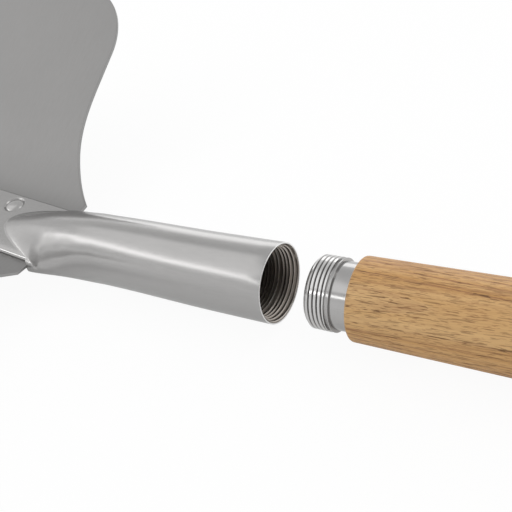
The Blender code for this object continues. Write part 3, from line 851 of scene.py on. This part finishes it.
class SPADE_OT_ferrule(Operator):
    """Build the ferrule with its male thread, neck and cup"""
    bl_idname = "spade.ferrule"
    bl_label = "Threaded Ferrule"

    def execute(self, context):
        sizes = context.scene.spade_sizes
        root = sizes.crest - THREAD_DEPTH
        profile = thread_profile(sizes.pitch, sizes.crest, root, sizes.thread_phase, 0.0)
        bm = threaded_band(profile, sizes.pitch, FERRULE_OUT, RELIEF_START, sizes.facets)
        mark_height(bm, root, sizes.crest)
        for vert in bm.verts:
            # the first turn is chamfered
            chamfer = root - 0.0002 + (along_axis(vert) - FERRULE_OUT) * 0.9
            if axis_radius(vert) > chamfer:
                set_ring(vert, chamfer, along_axis(vert))
        front, back = border(bm, FERRULE_OUT), border(bm, RELIEF_START)
        rim = SHAFT_START - TOUCH
        floor = FERRULE_OUT + FERRULE_FLOOR
        cone_end = FERRULE_OUT + COUNTERSINK - SCREW_HOLE
        inner = extend(bm, front, [(COUNTERSINK, FERRULE_OUT), (SCREW_HOLE, cone_end), (SCREW_HOLE, floor),
                                   (FERRULE_BORE, floor), (FERRULE_BORE, rim)])
        # the relief behind the thread, a ring with bevelled edges, then the neck
        relief, ring, groove = root - 0.00005, sizes.crest - 0.00005, NECK_RADIUS - 0.00012
        bevel = ring - 0.00006
        outer = extend(bm, back, [(relief, RELIEF_START + 0.00015), (relief, THREAD_END - 0.00062),
                                  (bevel, THREAD_END - 0.0005), (ring, THREAD_END - 0.00044),
                                  (ring, THREAD_END - 0.00016), (bevel, THREAD_END - 0.0001),
                                  (groove, THREAD_END), (groove, THREAD_END + 0.00016),
                                  (NECK_RADIUS, THREAD_END + 0.00024), (NECK_RADIUS, rim)])
        bmesh.ops.bridge_loops(bm, edges=inner + outer)
        # ring and neck are plain steel, with neither the crest's painted highlight nor the root's painted
        # shade
        height = bm.verts.layers.float["height"]
        for vert in bm.verts:
            if along_axis(vert) > THREAD_END - 0.0007:
                vert[height] = 0.6
        # the male thread's crests get painted highlight, its roots painted shade
        steel = steel_material("ferrule_steel", 0.15, grain=(900, 60, 60), shade=thread_highlight_and_shade(0.40, 0.60))
        finished(bm, "ferrule_with_thread", steel, "handle", "threaded_ferrule")
        return {"FINISHED"}


class SPADE_OT_tenon_screw(Operator):
    """Build the countersunk screw with its cross recess"""
    bl_idname = "spade.tenon_screw"
    bl_label = "Tenon Screw"

    def execute(self, context):
        tip, land = SCREW_OUT + SCREW_LENGTH, 0.0002
        profile = [(0, tip), (SCREW_SHANK * 0.5, tip - 0.004), (SCREW_SHANK, tip - 0.008),
                   (SCREW_SHANK, SCREW_OUT + SCREW_HEAD - SCREW_SHANK), (SCREW_HEAD, SCREW_OUT + land),
                   (SCREW_HEAD - land, SCREW_OUT), (0, SCREW_OUT)]
        steel = steel_material("screw_steel", 0.24, grain=(200, 200, 200))
        screw = finished(spun(profile, ON_AXIS, 64), "countersunk_tenon_screw", steel,
                         "handle", "tenon_screw")
        length, width, height = 0.0034, 0.0009, 0.0028
        for size in ((length, width, height), (width, length, height)):
            slot = bmesh.new()
            bmesh.ops.create_cube(slot, size=1)
            bmesh.ops.scale(slot, vec=size, verts=slot.verts)
            bmesh.ops.transform(slot, matrix=Matrix.Translation(place(SCREW_OUT, 0, 0)) @ ALONG_X,
                                verts=slot.verts)
            carve(screw, slot)
        return {"FINISHED"}


class SPADE_OT_shaft(Operator):
    """Turn the wooden shaft with a tenon at each end"""
    bl_idname = "spade.shaft"
    bl_label = "Wooden Shaft"

    def execute(self, context):
        edge, chamfer, front_chamfer = 0.0009, 0.0008, 0.0005
        end = GRIP_ALONG + MORTISE_DEPTH - FIT_GAP
        shoulder = GRIP_ALONG - SEAT_DEPTH - FIT_GAP
        front = FERRULE_OUT + FERRULE_FLOOR + FIT_GAP
        hole_end = SCREW_OUT + SCREW_LENGTH + FIT_GAP
        profile = [(0, end), (GRIP_TENON - chamfer, end), (GRIP_TENON, end - chamfer),
                   (GRIP_TENON, shoulder), (SHAFT_RADIUS, shoulder)]
        for i in range(7):
            angle = math.pi / 2 * i / 6
            profile.append((SHAFT_RADIUS - edge * (1 - math.cos(angle)),
                            SHAFT_START + edge * (1 - math.sin(angle))))
        profile += [(FRONT_TENON, SHAFT_START), (FRONT_TENON, front + front_chamfer),
                    (FRONT_TENON - front_chamfer, front), (SCREW_HOLE, front), (SCREW_HOLE, hole_end),
                    (0, hole_end)]
        wood = wood_material("pale_open_pored_wood")
        finished(spun(profile, ON_AXIS, context.scene.spade_sizes.facets), "turned_shaft", wood,
                 "handle", "wooden_shaft")
        return {"FINISHED"}


class SPADE_OT_grip(Operator):
    """Turn the crossbar grip and set its pin"""
    bl_idname = "spade.grip"
    bl_label = "Crossbar Grip"

    def execute(self, context):
        low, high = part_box("crossbar_grip")
        half, middle = (high[1] - low[1]) / 2, (high[2] - low[2]) / 2
        end, rounding = 0.01375, 0.006                # radius near the ends, and rounding of the ends
        flat = half - rounding
        profile = [(0, half)]
        for i in range(11):
            angle = math.pi / 2 * i / 10
            profile.append((end - rounding * (1 - math.sin(angle)), flat + rounding * math.cos(angle)))
        cap = len(profile)
        for i in range(1, 48):
            y = flat * (1 - 2 * i / 48)
            profile.append((blend(middle, end, abs(y / flat) ** 2.2), y))
        profile += [(radius, -y) for radius, y in reversed(profile[:cap])]
        upright = Matrix.Translation(place(GRIP_ALONG, 0, 0))
        crosswise = upright @ Matrix.Rotation(math.radians(-90), 4, "X")
        wood = wood_material("pale_crossbar_wood", crosswise=True)
        grip = finished(spun(profile, crosswise, 112), "turned_crossbar", wood, "handle",
                        "crossbar_grip", sharp=50)
        reach = 0.034
        for radius, bottom in ((SHAFT_RADIUS, -SEAT_DEPTH), (GRIP_TENON, MORTISE_DEPTH)):
            bore = Matrix.Translation(place(GRIP_ALONG + bottom - reach / 2, 0, 0)) @ ALONG_X
            carve(grip, rod(radius + BORE_GAP, reach, bore))
        carve(grip, rod(PIN_RADIUS + BORE_GAP, 3 * PIN_HALF_LENGTH, upright))
        grip.data.shade_smooth()
        grip.data.set_sharp_from_angle(angle=math.radians(40))
        chamfer = 0.0004
        pin = [(0, PIN_HALF_LENGTH), (PIN_RADIUS - chamfer, PIN_HALF_LENGTH),
               (PIN_RADIUS, PIN_HALF_LENGTH - chamfer)]
        pin += [(radius, -z) for radius, z in reversed(pin)]
        steel = steel_material("pin_steel", 0.26, grain=(200, 200, 200))
        finished(spun(pin, upright, 48), "crossbar_pin", steel, "handle", "grip_pin")
        return {"FINISHED"}


# ------------------------------------------------------------ stage
def soft_box(name, centre, target, size, brightness):
    """An area lamp that faces its target. Brightness is what a mirror would show."""
    lamp = bpy.data.lights.new(name, "AREA")
    lamp.shape = "RECTANGLE"
    lamp.size, lamp.size_y = size
    lamp.energy = brightness * math.pi * size[0] * size[1]
    obj = bpy.data.objects.new(name, lamp)
    bpy.context.scene.collection.objects.link(obj)
    facing = (Vector(target) - Vector(centre)).to_track_quat("-Z", "Y")
    obj.matrix_world = Matrix.Translation(centre) @ facing.to_matrix().to_4x4()


def seen_by_eye(tree):
    """1 where the camera, a gloss or a clear material looks, 0 for light falling on a surface."""
    rays = [tree.add("ShaderNodeLightPath", output=ray)
            for ray in ("Is Camera Ray", "Is Glossy Ray", "Is Transmission Ray")]
    return (rays[0] + rays[1] + rays[2]).least(1.0)


class SPADE_OT_stage(Operator):
    """Set the floor, the light and the camera"""
    bl_idname = "spade.stage"
    bl_label = "Floor, Light and Camera"

    def world(self, scene):
        """A white studio with a greyer ceiling, lit a little more from behind the spade."""
        world = bpy.data.worlds.new("studio")
        scene.world = world
        world.use_nodes = True
        world.node_tree.nodes.clear()
        tree = Tree(world.node_tree)
        direction = tree.add("ShaderNodeTexCoord", output="Generated")
        _, behind, height = tree.parts(direction)
        shown = tree.mix(height.step(0.25, 0.70), (1.0, 1.0, 1.0), (0.80, 0.80, 0.80))
        plain = tree.add("ShaderNodeBackground", {}, {"Color": (1, 1, 1), "Strength": 0.86 + behind * 0.34})
        backdrop = tree.add("ShaderNodeBackground", {}, {"Color": shown, "Strength": 1.0})
        both = tree.add("ShaderNodeMixShader", {}, {0: seen_by_eye(tree), 1: plain, 2: backdrop})
        out = world.node_tree.nodes.new("ShaderNodeOutputWorld")
        world.node_tree.links.new(both.socket, out.inputs["Surface"])

    def floor(self, scene):
        """A plain pale floor that looks white and keeps a soft shadow."""
        bm = bmesh.new()
        bmesh.ops.create_grid(bm, x_segments=1, y_segments=1, size=6)
        floor = as_object(bm, "floor")
        mat = bpy.data.materials.new("pale_floor")
        mat.use_nodes = True
        mat.node_tree.nodes.clear()
        tree = Tree(mat.node_tree)
        matte = tree.add("ShaderNodeBsdfDiffuse", {}, {"Color": scene.spade_finish.floor})
        white = tree.add("ShaderNodeEmission", {}, {"Color": (1, 1, 1), "Strength": 1.0})
        camera_ray = tree.add("ShaderNodeLightPath", output="Is Camera Ray")
        both = tree.add("ShaderNodeMixShader", {}, {0: seen_by_eye(tree) * 0.35 + camera_ray * 0.59,
                                                    1: matte, 2: white})
        out = mat.node_tree.nodes.new("ShaderNodeOutputMaterial")
        mat.node_tree.links.new(both.socket, out.inputs["Surface"])
        floor.data.materials.append(mat)

    def execute(self, context):
        scene = context.scene
        self.world(scene)
        self.floor(scene)
        middle = place(-0.06, 0, 0)

        def over(along, slant, distance):
            """Point at a slant from straight over the tube's axis. Negative is the near side."""
            turn = math.radians(slant)
            return place(along, distance * math.sin(turn), distance * math.cos(turn))

        soft_box("strip_above", over(-0.85, -37, 1.05), middle, (1.3, 0.14), 2.3)
        soft_box("veil_above", over(-0.82, -9, 1.15), middle, (1.46, 0.80), 0.50)
        soft_box("left_panel", place(-1.60, -0.25, 0.86), middle, (1.0, 0.36), 0.50)
        soft_box("low_left_panel", place(-1.50, -0.90, 0.45), middle, (1.0, 0.50), 0.40)
        soft_box("handle_panel", place(0.55, 0.45, 0.95), middle, (0.45, 0.45), 1.3)
        soft_box("far_panel", place(-0.70, 1.30, 0.27), middle, (2.0, 0.60), 0.95)

        camera_data = bpy.data.cameras.new("camera")
        camera_data.lens = CAMERA_LENS
        camera_data.sensor_width = 36
        camera = bpy.data.objects.new("camera", camera_data)
        scene.collection.objects.link(camera)
        camera.location = place(*CAMERA_PLACE)
        camera.rotation_euler = [math.radians(angle) for angle in CAMERA_TURN]
        scene.camera = camera
        scene.view_settings.view_transform = "Standard"
        return {"FINISHED"}


# ------------------------------------------------------------ add-on
OPERATORS = (SPADE_OT_blade, SPADE_OT_socket_tube, SPADE_OT_rivets, SPADE_OT_bush, SPADE_OT_ferrule,
             SPADE_OT_tenon_screw, SPADE_OT_shaft, SPADE_OT_grip, SPADE_OT_stage)


class SPADE_PT_sidebar(Panel):
    """Sizes, colours and the pieces of the spade"""
    bl_idname = "SPADE_PT_sidebar"
    bl_label = "Garden Spade"
    bl_space_type = "VIEW_3D"
    bl_region_type = "UI"
    bl_category = "Spade"

    def draw(self, context):
        for settings in (context.scene.spade_sizes, context.scene.spade_finish):
            column = self.layout.column()
            for name in settings.__annotations__:
                column.prop(settings, name)
        for operator in OPERATORS:
            self.layout.operator(operator.bl_idname)


CLASSES = (SpadeSizes, SpadeFinish, *OPERATORS, SPADE_PT_sidebar)


def register():
    for cls in CLASSES:
        bpy.utils.register_class(cls)
    bpy.types.Scene.spade_sizes = PointerProperty(type=SpadeSizes)
    bpy.types.Scene.spade_finish = PointerProperty(type=SpadeFinish)


def unregister():
    del bpy.types.Scene.spade_finish
    del bpy.types.Scene.spade_sizes
    for cls in reversed(CLASSES):
        bpy.utils.unregister_class(cls)


def main():
    register()
    for operator in OPERATORS:
        group, name = operator.bl_idname.split(".")
        getattr(getattr(bpy.ops, group), name)()


if __name__ == "__main__":
    main()
